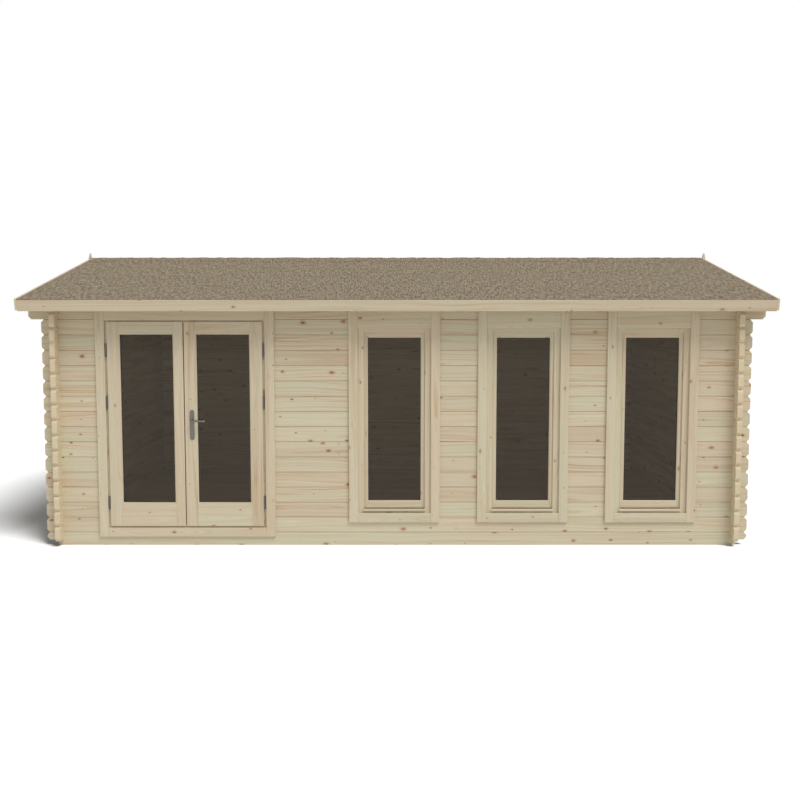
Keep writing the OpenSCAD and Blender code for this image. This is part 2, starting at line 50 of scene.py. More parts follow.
# ---------------------------------------------------------------- Sizes read from the frame
BASE_LOW, BASE_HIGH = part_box("front_wall_base")
PIER_LOW, PIER_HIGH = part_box("front_wall_piers")
LEFT_LOW, LEFT_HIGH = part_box("left_wall")
COURSE = 2 * (BASE_HIGH.z - BASE_LOW.z)     # the lowest front log is a half log
FRONT_JOINT = BASE_HIGH.z
SIDE_JOINT = BASE_LOW.z
FACE_Y = -PIER_LOW.y                        # distance of the outer wall faces from the middle
WALL_Y = -(PIER_LOW.y + PIER_HIGH.y) / 2    # distance of the middle of the front and back walls
WALL_X = -(LEFT_LOW.x + LEFT_HIGH.x) / 2    # and of the side walls

# ---------------------------------------------------------------- Shader graphs


def rgb(red, green, blue):
    """A screen colour from 0 to 255 as linear light."""
    def linear(c):
        c /= 255
        return c / 12.92 if c <= 0.04045 else ((c + 0.055) / 1.055) ** 2.4
    return (linear(red), linear(green), linear(blue), 1.0)


class Graph:
    """Short calls for shader nodes. A value is a number, a tuple or another node's socket."""

    def __init__(self, tree):
        self.tree = tree

    def node(self, kind, values=None, **settings):
        made = self.tree.nodes.new(kind)
        for name, value in settings.items():
            setattr(made, name, value)
        for name, value in (values or {}).items():
            self.join(made.inputs[name], value)
        return made

    def join(self, socket, value):
        if isinstance(value, bpy.types.NodeSocket):
            self.tree.links.new(value, socket)
        else:
            socket.default_value = value

    def math(self, operation, *values, clamp=False):
        made = self.node("ShaderNodeMath", dict(enumerate(values)), operation=operation, use_clamp=clamp)
        return made.outputs[0]

    def add(self, a, b):
        return self.math("ADD", a, b)

    def take(self, a, b):
        return self.math("SUBTRACT", a, b)

    def times(self, a, b):
        return self.math("MULTIPLY", a, b)

    def scaled(self, a, factor, plus=0.0):
        return self.math("MULTIPLY_ADD", a, factor, plus)

    def length(self, a, b):
        return self.math("SQRT", self.add(self.times(a, a), self.times(b, b)))

    def step(self, value, low, high, start=0.0, end=1.0):
        """A smooth change from start to end as value goes from low to high."""
        sockets = {"Value": value, "From Min": low, "From Max": high, "To Min": start, "To Max": end}
        return self.node("ShaderNodeMapRange", sockets, interpolation_type="SMOOTHSTEP").outputs[0]

    def split(self, vector):
        return list(self.node("ShaderNodeSeparateXYZ", {0: vector}).outputs)

    def vector(self, x=0.0, y=0.0, z=0.0):
        return self.node("ShaderNodeCombineXYZ", {0: x, 1: y, 2: z}).outputs[0]

    def stretched(self, *pairs):
        """A vector from (value, factor) pairs."""
        return self.vector(*(self.scaled(value, factor) for value, factor in pairs))

    def chance(self, number):
        """Three random numbers for each whole value of number."""
        made = self.node("ShaderNodeTexWhiteNoise", {"W": number}, noise_dimensions="1D")
        return self.split(made.outputs["Color"])

    def noise(self, vector, detail=2.0, roughness=0.5, output=0):
        """Smooth noise, a number at output 0 and a colour at output 1."""
        sockets = {"Vector": vector, "Scale": 1.0, "Detail": detail, "Roughness": roughness}
        return self.node("ShaderNodeTexNoise", sockets, noise_dimensions="3D").outputs[output]

    def mix(self, factor, a, b, blend="MIX"):
        made = self.node("ShaderNodeMix", {0: factor, 6: a, 7: b}, data_type="RGBA", blend_type=blend)
        return made.outputs[2]

    def stain(self, factor, colour, tone):
        """Multiplies a colour by a tone, as far as factor says."""
        return self.mix(factor, colour, self.mix(1.0, colour, tone, blend="MULTIPLY"))

    def seen_directly(self):
        """1 for rays that look at a surface, and 0 for those that carry its light to others."""
        light = self.node("ShaderNodeLightPath").outputs
        seen = self.math("MAXIMUM", light["Is Camera Ray"], light["Is Glossy Ray"])
        return self.math("MAXIMUM", seen, light["Is Transmission Ray"])


def new_material(name):
    """A material with an empty graph, and that graph."""
    material = bpy.data.materials.new(name)
    material.use_nodes = True
    material.node_tree.nodes.clear()
    return material, Graph(material.node_tree)


def principled(g, colour, roughness, height=None, bump=0.0, **sockets):
    """Ends a graph in one Principled shader. bump is the height of the relief in metres."""
    shader = g.node("ShaderNodeBsdfPrincipled", {"Base Color": colour, "Roughness": roughness, **sockets})
    if height is not None:
        relief = g.node("ShaderNodeBump", {"Height": height, "Distance": bump, "Strength": 1.0})
        g.join(shader.inputs["Normal"], relief.outputs[0])
    g.node("ShaderNodeOutputMaterial", {"Surface": shader.outputs[0]})


# ---------------------------------------------------------------- Pine
RING = 0.0034          # spacing of the growth rings
KNOT_ALONG = 0.36      # mean spacing of knots along a board
KNOT_ACROSS = 0.105    # and across it
KNOT_STRETCH = 1.7     # length of a knot over its height
KNOT_SMALL, KNOT_LARGE = 0.0024, 0.0098     # half the height of a knot
KNOT_RARITY = 2.2      # the higher, the rarer large knots are
GREENISH, PINKISH = rgb(210, 204, 177), rgb(212, 195, 169)     # the tones that clear wood lies between


def pine_group():
    """Planed pine. Grain holds metres along, across and through a board, and Tint is the board's own number.
    End is 1 on sawn ends, JointShade darkens the V joints with painted shade, and Knots and Streaks say how
    many there are."""
    tree = bpy.data.node_groups.new("pine", "ShaderNodeTree")
    inputs = {"Grain": "Vector", "Tint": "Float", "End": "Float", "JointShade": "Float", "Knots": "Float",
              "Streaks": "Float"}
    for name, kind in inputs.items():
        tree.interface.new_socket(name, in_out="INPUT", socket_type="NodeSocket" + kind)
    for name, kind in {"Color": "Color", "Roughness": "Float", "Height": "Float"}.items():
        tree.interface.new_socket(name, in_out="OUTPUT", socket_type="NodeSocket" + kind)
    g = Graph(tree)
    given = g.node("NodeGroupInput").outputs
    along, across, through = g.split(given["Grain"])
    one, two, three = g.chance(given["Tint"])

    # Knots: one in some cells of a loose net, each with its own size.
    cell_along = g.math("MULTIPLY_ADD", one, 50.0, g.scaled(along, 1 / KNOT_ALONG))
    cell_across = g.math("MULTIPLY_ADD", two, 50.0, g.scaled(across, 1 / KNOT_ACROSS))
    net = g.node("ShaderNodeTexVoronoi", {"Vector": g.vector(cell_along, cell_across), "Scale": 1.0,
                                          "Randomness": 0.9}, voronoi_dimensions="2D")
    knot_x, knot_y, _ = g.split(net.outputs["Position"])
    pick_size, pick_there, pick_tone = g.split(net.outputs["Color"])
    from_knot = g.length(g.scaled(g.take(cell_along, knot_x), KNOT_ALONG / KNOT_STRETCH),
                         g.scaled(g.take(cell_across, knot_y), KNOT_ACROSS))
    ragged = g.noise(g.vector(g.scaled(along, 90.0), g.scaled(across, 160.0), one))
    from_knot = g.add(from_knot, g.scaled(ragged, 0.004, -0.002))
    knot_size = g.scaled(g.math("POWER", pick_size, KNOT_RARITY), KNOT_LARGE - KNOT_SMALL, KNOT_SMALL)
    there = g.times(g.math("LESS_THAN", pick_there, given["Knots"]), g.take(1.0, given["End"]))
    share = g.math("DIVIDE", from_knot, knot_size)
    swirl = g.math("EXPONENT", g.scaled(g.times(share, share), -0.30))
    swirl = g.times(g.times(swirl, knot_size), g.scaled(there, 1.5))

    # Growth rings round a wandering pith, bent by the knots.
    drift = g.noise(g.stretched((along, 0.9), (one, 40.0), (two, 40.0)), detail=1.0, output=1)
    drift_across, drift_through, _ = g.split(drift)
    pith_across = g.add(g.scaled(two, 0.13, -0.115), g.scaled(drift_across, 0.10))
    pith_through = g.add(g.scaled(three, 0.07, 0.02), g.scaled(drift_through, 0.05, -0.025))
    ripple = g.noise(g.stretched((along, 7.0), (across, 45.0), (through, 45.0)))
    radius = g.length(g.take(across, pith_across), g.take(through, pith_through))
    radius = g.add(g.add(radius, swirl), g.scaled(ripple, 0.003, -0.0015))
    ring = g.math("FRACT", g.scaled(radius, 1 / RING))
    late = g.times(g.step(ring, 0.25, 0.88), g.step(ring, 0.9, 1.0, 1.0, 0.0))
    bands = g.noise(g.stretched((radius, 75.0), (one, 30.0), (along, 0.5)), detail=3.0)
    streak = g.noise(g.stretched((along, 0.8), (radius, 150.0), (two, 30.0)))
    patch = g.noise(g.stretched((along, 1.1), (across, 9.0), (three, 60.0)))
    fibre = g.noise(g.stretched((along, 14.0), (across, 620.0), (through, 620.0)), detail=3.0)

    # Colour: greenish and pinkish patches, darker late wood, reddish heart streaks, fine fibres.
    warmth = g.add(g.scaled(three, 0.75, -0.38), g.scaled(patch, 2.0, -0.50))
    colour = g.mix(g.math("ADD", warmth, 0.0, clamp=True), GREENISH, PINKISH)
    late_share = g.add(g.scaled(late, 0.20), g.scaled(given["End"], 0.15))
    shade = g.math("ADD", late_share, g.step(bands, 0.40, 0.75, 0.0, 0.42), clamp=True)
    colour = g.stain(shade, colour, rgb(224, 205, 178))
    reddish = g.times(g.step(streak, 0.57, 0.70), g.step(patch, 0.36, 0.60, 0.35, 0.9))
    reddish = g.times(reddish, given["Streaks"])
    colour = g.stain(reddish, colour, rgb(232, 203, 182))
    light = g.add(g.scaled(fibre, 0.16, 0.92), g.scaled(one, 0.07, -0.035))
    colour = g.mix(1.0, colour, g.node("ShaderNodeCombineColor", {0: light, 1: light, 2: light}).outputs[0],
                   blend="MULTIPLY")
    halo = g.times(g.step(share, 0.9, 3.0, 0.5, 0.0), there)
    colour = g.stain(halo, colour, rgb(222, 172, 142))
    heart = g.mix(pick_tone, rgb(182, 128, 94), rgb(124, 88, 64))
    rim = g.mix(pick_tone, rgb(150, 98, 70), rgb(86, 58, 42))
    heart = g.mix(g.step(share, 0.5, 1.0), heart, rim)
    colour = g.mix(g.times(g.step(share, 0.75, 1.25, 0.9, 0.0), there), colour, heart)
    # Painted shade in the V joints between logs.
    colour = g.stain(given["JointShade"], colour, rgb(190, 170, 138))
    colour = g.mix(g.scaled(given["End"], 0.6), colour, rgb(222, 206, 172))

    height = g.add(g.scaled(late, 0.35), g.scaled(fibre, 0.65))
    roughness = g.add(g.scaled(late, -0.08, 0.60), g.scaled(fibre, 0.16))
    g.node("NodeGroupOutput", {"Color": colour, "Roughness": roughness, "Height": height})
    return tree


PINE = pine_group()
PINE_RELIEF = 0.00025
JOINT_SHADE_EDGE, JOINT_SHADE_FADE, JOINT_SHADE_DARK = 0.0015, 0.0045, 0.4    # painted shade along the V joints: its reach and strength
TAIL_FADE, TAIL_PALE = 0.012, 0.85      # how soon and how far a crossed log's tail goes pale
SET_TINT, SPLIT_TINT = 50.0, 7.31       # keep the tints of two sets, or of a log's two parts, apart


def pine(g, grain, tint, end, joint=0.0, knots=0.66, streaks=1.0):
    """Ends a graph in pine whose grain follows the given coordinates."""
    made = g.node("ShaderNodeGroup", node_tree=PINE)
    names = ("Grain", "Tint", "End", "JointShade", "Knots", "Streaks")
    for name, value in zip(names, (grain, tint, end, joint, knots, streaks)):
        g.join(made.inputs[name], value)
    principled(g, made.outputs["Color"], made.outputs["Roughness"], made.outputs["Height"], PINE_RELIEF,
               **{"Specular IOR Level": 0.3})


def board_pine(name, knots, streaks):
    """Pine for boards built here, which carry their own grain coordinates."""
    material, g = new_material(name)
    grain = g.node("ShaderNodeAttribute", attribute_name="grain").outputs["Vector"]
    tint = g.node("ShaderNodeAttribute", attribute_name="tint").outputs["Fac"]
    end = g.node("ShaderNodeAttribute", attribute_name="end").outputs["Fac"]
    pine(g, grain, tint, end, knots=knots, streaks=streaks)
    return material


def timber_pine(name, along, deep, rows, number, middle, splits=(), tails=None):
    """Pine for timbers of the CAD model. Grain runs along one axis and deep is the tall face's other axis.
    rows gives (axis, start, pitch) of the timbers, and number is the set's own. middle is their distance
    from zero along the third axis, on either side. splits are (axis, place) where one timber ends and
    another starts. tails is the distance from zero past which it is nearly as pale as its sawn ends."""
    material, g = new_material(name)
    coordinates = g.node("ShaderNodeTexCoord")
    place = dict(zip("xyz", g.split(coordinates.outputs["Object"])))
    facing = dict(zip("xyz", g.split(coordinates.outputs["Normal"])))
    row_axis, start, pitch = rows
    row = g.math("FLOOR", g.scaled(place[row_axis], 1 / pitch, -start / pitch))
    tint = g.add(row, SET_TINT * number)
    for axis, where in splits:
        tint = g.math("MULTIPLY_ADD", g.math("GREATER_THAN", place[axis], where), SPLIT_TINT, tint)
    thin = next(axis for axis in "xyz" if axis not in (along, deep))
    local = dict(place)
    local[thin] = g.take(g.math("ABSOLUTE", place[thin]), middle)
    local[row_axis] = g.take(g.scaled(place[row_axis], 1.0, -start - pitch / 2), g.scaled(row, pitch))
    end = g.step(g.math("ABSOLUTE", facing[along]), 0.6, 0.9)
    # Painted shade in the V joints: darker near the edge of each row.
    edge = g.take(pitch / 2, g.math("ABSOLUTE", local[row_axis]))
    joint = g.step(edge, JOINT_SHADE_EDGE, JOINT_SHADE_FADE, JOINT_SHADE_DARK, 0.0)
    if tails:
        beyond = g.step(g.math("ABSOLUTE", place[along]), tails, tails + TAIL_FADE)
        end = g.math("MAXIMUM", end, g.times(beyond, TAIL_PALE))
    pine(g, g.vector(local[along], local[deep], local[thin]), tint, end, joint)
    return material


# ---------------------------------------------------------------- Other materials
FELT_RELIEF, STEEL_RELIEF = 0.004, 0.00003


def felt_material():
    """Mineral felt: fine granules, flakes and creases that run up the slope."""
    material, g = new_material("mineral_felt")
    place = g.node("ShaderNodeTexCoord").outputs["Object"]
    x, y, z = g.split(place)
    warp_x, _, _ = g.split(g.noise(g.stretched((x, 11.0), (y, 12.0)), output=1))
    crease_x = g.math("MULTIPLY_ADD", warp_x, 2.0, g.scaled(x, 100.0))
    crease = g.noise(g.vector(crease_x, g.scaled(y, 10.0)))
    flakes = g.node("ShaderNodeTexVoronoi", {"Vector": g.stretched((x, 100.0), (y, 28.0)), "Scale": 1.0})
    flake, _, _ = g.split(flakes.outputs["Color"])
    grit = g.noise(g.stretched((x, 420.0), (y, 420.0), (z, 420.0)), roughness=0.7)
    speck = g.node("ShaderNodeTexVoronoi", {"Vector": place, "Scale": 360.0}).outputs["Color"]
    speck, _, _ = g.split(speck)
    tone = g.add(g.step(crease, 0.36, 0.64, 0.0, 0.55), g.scaled(flake, 0.45))
    colour = g.mix(tone, rgb(65, 55, 41), rgb(173, 157, 131))
    colour = g.mix(g.scaled(speck, 0.35), colour, g.mix(grit, rgb(90, 80, 65), rgb(180, 167, 146)))
    height = g.add(g.scaled(crease, 0.8), g.scaled(grit, 0.4))
    principled(g, colour, g.scaled(grit, 0.15, 0.82), height, FELT_RELIEF, **{"Specular IOR Level": 0.25})
    return material


def glass_material():
    """Clear glass that also lets light into the cabin."""
    material, g = new_material("glazing")
    place = g.split(g.node("ShaderNodeTexCoord").outputs["Object"])
    ripple = g.noise(g.vector(*[g.scaled(c, 2.0) for c in place]))
    tint = g.mix(ripple, rgb(219, 210, 194), rgb(225, 217, 202))
    shader = g.node("ShaderNodeBsdfPrincipled", {
        "Base Color": tint, "Roughness": 0.0, "Transmission Weight": 1.0, "IOR": 1.45,
        "Specular Tint": rgb(210, 201, 193)})
    light = g.node("ShaderNodeLightPath").outputs
    passing = g.math("MAXIMUM", light["Is Shadow Ray"], light["Is Diffuse Ray"])
    clear = g.node("ShaderNodeBsdfTransparent", {"Color": rgb(240, 240, 236)})
    surface = g.node("ShaderNodeMixShader", {0: passing, 1: shader.outputs[0], 2: clear.outputs[0]})
    g.node("ShaderNodeOutputMaterial", {"Surface": surface.outputs[0]})
    return material


def steel_material(name, colour):
    """Satin steel, brushed up and down."""
    material, g = new_material(name)
    x, y, z = g.split(g.node("ShaderNodeTexCoord").outputs["Object"])
    lines = g.noise(g.stretched((x, 2600.0), (y, 2600.0), (z, 60.0)))
    smudge = g.noise(g.stretched((x, 40.0), (y, 40.0), (z, 25.0)))
    tone = g.mix(g.scaled(lines, 0.5), colour, tuple(0.6 * c for c in colour[:3]) + (1.0,))
    roughness = g.add(g.scaled(smudge, 0.18, 0.30), g.scaled(lines, 0.10))
    principled(g, tone, roughness, lines, STEEL_RELIEF, Metallic=1.0)
    return material


def rubber_material():
    """Dark rubber of the glazing seals."""
    material, g = new_material("glazing_seal")
    grain = g.noise(g.node("ShaderNodeTexCoord").outputs["Object"])
    colour = g.mix(grain, rgb(38, 38, 34), rgb(54, 53, 48))
    principled(g, colour, g.scaled(grain, 0.2, 0.55))
    return material


# ---------------------------------------------------------------- Meshes


def link(name, mesh, body, replaced, material):
    """Makes a piece from a mesh, rides it on its body and hides the CAD nodes it stands for, if any."""
    piece = bpy.data.objects.new(name, mesh)
    bpy.context.scene.collection.objects.link(piece)
    mesh.materials.append(material)
    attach(piece, body)
    if replaced:
        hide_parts(*replaced)


def smooth_mesh(name, corners, faces, crease):
    """A closed mesh with outward normals, smooth where it bends less than crease degrees."""
    mesh = bpy.data.meshes.new(name)
    mesh.from_pydata(corners, [], faces)
    bm = bmesh.new()
    bm.from_mesh(mesh)
    bmesh.ops.recalc_face_normals(bm, faces=bm.faces[:])
    bm.to_mesh(mesh)
    bm.free()
    for face in mesh.polygons:
        face.use_smooth = True
    mesh.set_sharp_from_angle(angle=math.radians(crease))
    return mesh


def solids(node):
    """Corner points of each separate solid of a CAD node, in order along X and then upwards."""
    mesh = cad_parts[node].data
    points = np.array([v.co for v in mesh.vertices])
    places, index = np.unique(points.round(5), axis=0, return_inverse=True)
    parent = list(range(len(places)))

    def root(i):
        while parent[i] != i:
            parent[i] = parent[parent[i]]
            i = parent[i]
        return i

    index = index.ravel()
    for edge in mesh.edges:
        a, b = (root(index[v]) for v in edge.vertices)
        parent[a] = b
    roots = [root(i) for i in range(len(places))]
    groups = [places[[r == found for r in roots]] for found in sorted(set(roots))]
    return sorted(groups, key=lambda group: (round(group[:, 0].min(), 3), round(group[:, 2].min(), 3)))


def levels(points, axis):
    """The different coordinates of the points along an axis, lowest first."""
    values = np.unique(points[:, axis].round(4))
    return [float(v) for v in values]


MOULDING_BEVEL = 0.0006


class Boards:
    """Boards with rounded arrises, gathered into one mesh. Each has its own grain coordinates and tint."""

    def __init__(self, seed):
        self.random = random.Random(seed)
        self.corners, self.faces, self.grain, self.tint, self.end = [], [], [], [], []

    def board(self, low, high, along, bevel, cuts=(), place=Matrix.Identity(4)):
        """A board from low to high, grained along axis 0, 1 or 2. cuts are (point, outward normal) planes."""
        low, high = Vector(low), Vector(high)
        bm = bmesh.new()
        bmesh.ops.create_cube(bm, size=1.0)
        for v in bm.verts:
            v.co = Vector(((low[i] + high[i]) / 2 + v.co[i] * (high[i] - low[i])) for i in range(3))
        for point, normal in cuts:
            everything = bm.verts[:] + bm.edges[:] + bm.faces[:]
            bmesh.ops.bisect_plane(bm, geom=everything, plane_co=point, plane_no=normal, clear_outer=True)
            bmesh.ops.holes_fill(bm, edges=[e for e in bm.edges if e.is_boundary])
        self.gather(bm, low, high, along, bevel, place)

    def moulding(self, rectangle, profile):
        """Four mitred strips inside a rectangle (x0, z0, x1, z1). profile lists (inset, y) points."""
        x0, z0, x1, z1 = rectangle
        corners = [(x0, z0, 1, 1), (x1, z0, -1, 1), (x1, z1, -1, -1), (x0, z1, 1, -1)]
        for i, start in enumerate(corners):
            end = corners[(i + 1) % 4]
            bm = bmesh.new()
            rings = [[bm.verts.new((x + sx * inset, depth, z + sz * inset)) for inset, depth in profile]
                     for x, z, sx, sz in (start, end)]
            count = len(profile)
            for k in range(count):
                j = (k + 1) % count
                bm.faces.new((rings[0][k], rings[0][j], rings[1][j], rings[1][k]))
            bm.faces.new(rings[0][::-1])
            bm.faces.new(rings[1])
            bmesh.ops.recalc_face_normals(bm, faces=bm.faces[:])
            box_low = Vector(min(v.co[a] for v in bm.verts) for a in range(3))
            box_high = Vector(max(v.co[a] for v in bm.verts) for a in range(3))
            self.gather(bm, box_low, box_high, 0 if i % 2 == 0 else 2, MOULDING_BEVEL, Matrix.Identity(4))

    def gather(self, bm, low, high, along, bevel, place):
        """Adds one shape, its edges rounded, with a tint and grain coordinates from its own middle."""
        size = high - low
        if bevel:
            bmesh.ops.bevel(bm, geom=bm.edges[:], offset=bevel, segments=2, profile=0.6, affect="EDGES",
                            clamp_overlap=True)
        across, through = sorted((a for a in range(3) if a != along), key=lambda a: -size[a])
        centre = (low + high) / 2
        start = len(self.corners)
        tint = self.random.uniform(0, 900)
        for v in bm.verts:
            offset = v.co - centre
            self.corners.append(place @ v.co)
            self.grain.append((offset[along], offset[across], offset[through]))
            self.tint.append(tint)
        bm.normal_update()
        for f in bm.faces:
            self.faces.append([start + v.index for v in f.verts])
            self.end.append(float(abs(f.normal[along]) > 0.8))
        bm.free()

    def piece(self, name, body, slot, replaced, material):
        """The gathered boards as one piece."""
        mesh = bpy.data.meshes.new(name)
        mesh.from_pydata(self.corners, [], self.faces)
        mesh.attributes.new("grain", "FLOAT_VECTOR", "POINT").data.foreach_set("vector", np.ravel(self.grain))
        mesh.attributes.new("tint", "FLOAT", "POINT").data.foreach_set("value", self.tint)
        mesh.attributes.new("end", "FLOAT", "FACE").data.foreach_set("value", self.end)
        mesh.update()
        link(name, mesh, body, replaced, material)


# ---------------------------------------------------------------- Walls and carcass
WINDOW_MIDDLES = [(levels(s, 0)[0] + levels(s, 0)[-1]) / 2 for s in solids("window_casings")]
DOOR_MIDDLE = (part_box("door_jambs")[0].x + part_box("door_jambs")[1].x) / 2
LONG_ROWS = ("z", FRONT_JOINT, COURSE)
SIDE_ROWS = ("z", SIDE_JOINT, COURSE)


def dress(material, *names):
    """Gives CAD nodes a material of their own."""
    for name in names:
        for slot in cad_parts[name].material_slots:
            slot.material = material


def dress_walls():
    """Logs and bearers. The short logs end at the openings, so each opening's middle starts new ones."""
    beside = [("x", x) for x in [DOOR_MIDDLE] + WINDOW_MIDDLES]
    dress(timber_pine("long_logs", "x", "z", LONG_ROWS, 1, WALL_Y, [("y", 0.0)]),
          "front_wall_base", "front_wall_sill", "front_wall_lintel", "front_wall_top",
          "back_wall", "back_wall_top", "foundation_bearers")
    dress(timber_pine("short_logs", "x", "z", LONG_ROWS, 2, WALL_Y, beside),
          "front_wall_left", "front_wall_piers", "front_wall_right")
    dress(timber_pine("side_logs", "y", "z", SIDE_ROWS, 4, WALL_X, [("x", 0.0)], tails=FACE_Y),
          "left_wall", "right_wall", "side_bearers")


JOIST_PITCH = 0.575     # matches the joists of the CAD model


def dress_carcass():
    """Purlins and joists."""
    ridge_high, side_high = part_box("ridge_purlin")[1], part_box("side_purlins")[1]
    gap = side_high.y - ridge_high.y
    dress(timber_pine("purlins", "x", "z", ("y", -gap / 2, gap), 6, 0.0), "ridge_purlin", "side_purlins")
    joist_rows = ("x", -JOIST_PITCH / 2, JOIST_PITCH)
    dress(timber_pine("joists", "y", "x", joist_rows, 8, BASE_LOW.z / 2), "floor_joists")


# ---------------------------------------------------------------- Roof
AT_RIDGE = 0.002        # points this near the middle belong to the ridge


class Slope:
    """One roof slope, from a CAD slab that lies on it. place turns (along X, down the slope, outward),
    measured from the slab's upper edge at the ridge, into the frame."""

    def __init__(self, node):
        points = solids(node)[0]
        self.low_x, self.high_x = points[:, 0].min(), points[:, 0].max()
        section = np.unique(points[:, 1:].round(5), axis=0)
        at_ridge = np.abs(section[:, 0]) < AT_RIDGE
        ridge, eave = section[at_ridge], section[~at_ridge]
        ridge_top, ridge_low = ridge[ridge[:, 1].argmax()], ridge[ridge[:, 1].argmin()]
        eave_top = eave[eave[:, 1].argmax()]
        self.side = 1 if eave_top[0] > 0 else -1
        down = Vector((0, eave_top[0] - ridge_top[0], eave_top[1] - ridge_top[1]))
        self.run = down.length
        self.down = down.normalized()
        self.out = Vector((0, self.down.z * -self.side, self.down.y * self.side)).normalized()
        if self.out.z < 0:
            self.out.negate()
        self.top = Vector((0, ridge_top[0], ridge_top[1]))
        self.thick = (ridge_top[1] - ridge_low[1]) * self.out.z
        self.place = Matrix.Identity(4)
        for column, axis in enumerate((X, self.down, self.out)):
            self.place.col[column] = (*axis, 0)
        self.place.col[3] = (*self.top, 1)


ROOF_BOARD = 0.096      # cover width of a roof board
BOARD_GAP = 0.0004      # between two roof or floor boards
PAST_RIDGE = 0.01       # spare length of a roof board, cut off again at the ridge
INSIDE = 0.0001         # how far its faces lie inside the CAD slab
ROOF_BEVEL, EAVE_BEVEL, VERGE_BEVEL = 0.0025, 0.003, 0.0025


def roof_boards(name, node, seed):
    """Tongued boards from ridge to eave, with a V joint between each two."""
    slope = Slope(node)
    boards = Boards(seed)
    count = round((slope.high_x - slope.low_x) / ROOF_BOARD)
    wide = (slope.high_x - slope.low_x) / count
    mitre = slope.place.inverted().to_3x3() @ (Y * -slope.side)
    for i in range(count):
        x = slope.low_x + i * wide
        low = (x + BOARD_GAP / 2, -PAST_RIDGE, -slope.thick + INSIDE)
        high = (x + wide - BOARD_GAP / 2, slope.run, -INSIDE)
        boards.board(low, high, 1, ROOF_BEVEL, cuts=[((0, 0, 0), mitre)], place=slope.place)
    boards.piece(name, "cabin", "roof_pine", [node], BOARD_PINE)


FELT_CELL = 0.03        # size of a cell of the sheet's mesh
FELT_WAVE = 0.0009      # half the height of its waves
FELT_CLEAR = 0.0002     # under the felt, so that no two faces share a plane


def felt_sheet(name, node, seed):
    """Felt on one slope: a slightly wavy sheet from ridge to eave. Gives back its slope."""
    slope = Slope(node)
    picker = random.Random(seed)
    waves = [(picker.uniform(3, 16), picker.uniform(1, 9), picker.uniform(0, 6.3), picker.uniform(0.5, 1.0))
             for _ in range(7)]
    nx = round((slope.high_x - slope.low_x) / FELT_CELL)
    ny = round(slope.run / FELT_CELL)
    corners, faces = [], []
    for layer in (0, 1):
        for j in range(ny + 1):
            for i in range(nx + 1):
                x = slope.low_x + (slope.high_x - slope.low_x) * i / nx
                s = slope.run * j / ny
                wave = sum(size * math.sin(kx * x + ks * s + turn) for kx, ks, turn, size in waves) / 3
                upper = FELT_WAVE * (max(-1.0, min(1.0, wave)) - 1)
                height = -slope.thick + FELT_CLEAR if layer else upper
                corners.append(slope.place @ Vector((x, s, height)))
    row, sheet = nx + 1, (nx + 1) * (ny + 1)
    for j in range(ny):
        for i in range(nx):
            a = j * row + i
            faces.append((a, a + 1, a + row + 1, a + row))
            faces.append(tuple(sheet + k for k in (a, a + row, a + row + 1, a + 1)))
    rim = ([i for i in range(nx)] + [nx + row * j for j in range(ny)]
           + [ny * row + nx - i for i in range(nx)] + [(ny - j) * row for j in range(ny)])
    for k, a in enumerate(rim):
        b = rim[(k + 1) % len(rim)]
        faces.append((a, a + sheet, b + sheet, b))
    link(name, smooth_mesh(name, corners, faces, 35), "cabin", [node], FELT)
    return slope


CAP_REACH = 0.20        # down each slope
CAP_THICK, CAP_EDGE = 0.004, 0.0006     # at the ridge and at its feathered edges
CAP_CELL, CAP_BUMP = 0.04, 0.006        # spacing and greatest height of its bumps
BUMP_FALL = 2.2         # the bumps are gone at 1 / BUMP_FALL of the reach


def ridge_cap(front, back):
    """A felt strip folded over the ridge, bumpy where the board ends show through."""
    picker = random.Random(31)
    count = round((front.high_x - front.low_x) / CAP_CELL)
    bumps = [picker.uniform(0.0, CAP_BUMP) for _ in range(count + 1)]
    stations = [(-share, front) for share in (1.0, 0.6, 0.3, 0.12, 0.0)]
    stations += [(share, back) for share in (0.12, 0.3, 0.6, 1.0)]
    corners, faces = [], []
    for i in range(count + 1):
        x = front.low_x + (front.high_x - front.low_x) * i / count
        bump = bumps[i]
        for layer in (0, 1):
            for t, slope in stations:
                s = abs(t) * CAP_REACH
                thick = CAP_THICK + (CAP_EDGE - CAP_THICK) * abs(t)
                lift = thick + bump * max(0.0, 1 - abs(t) * BUMP_FALL) if layer else FELT_CLEAR
                if t == 0.0:
                    corners.append(Vector((x, 0.0, front.top.z + lift)))
                else:
                    corners.append(slope.place @ Vector((x, s, lift)))
    wide = len(stations)
    for i in range(count):
        for k in range(wide - 1):
            a = i * 2 * wide + k
            b = a + 2 * wide
            faces.append((a + wide, a + wide + 1, b + wide + 1, b + wide))
            faces.append((a, b, b + 1, a + 1))
        for k in (0, wide - 1):
            a = i * 2 * wide + k
            faces.append((a, a + wide, a + 3 * wide, a + 2 * wide))
    for i in (0, count):
        base = i * 2 * wide
        faces.append([base + k for k in range(wide)] + [base + wide + k for k in reversed(range(wide))])
    mesh = smooth_mesh("felt_ridge_cap", corners, faces, 40)
    link("felt_ridge_cap", mesh, "cabin", (), FELT)


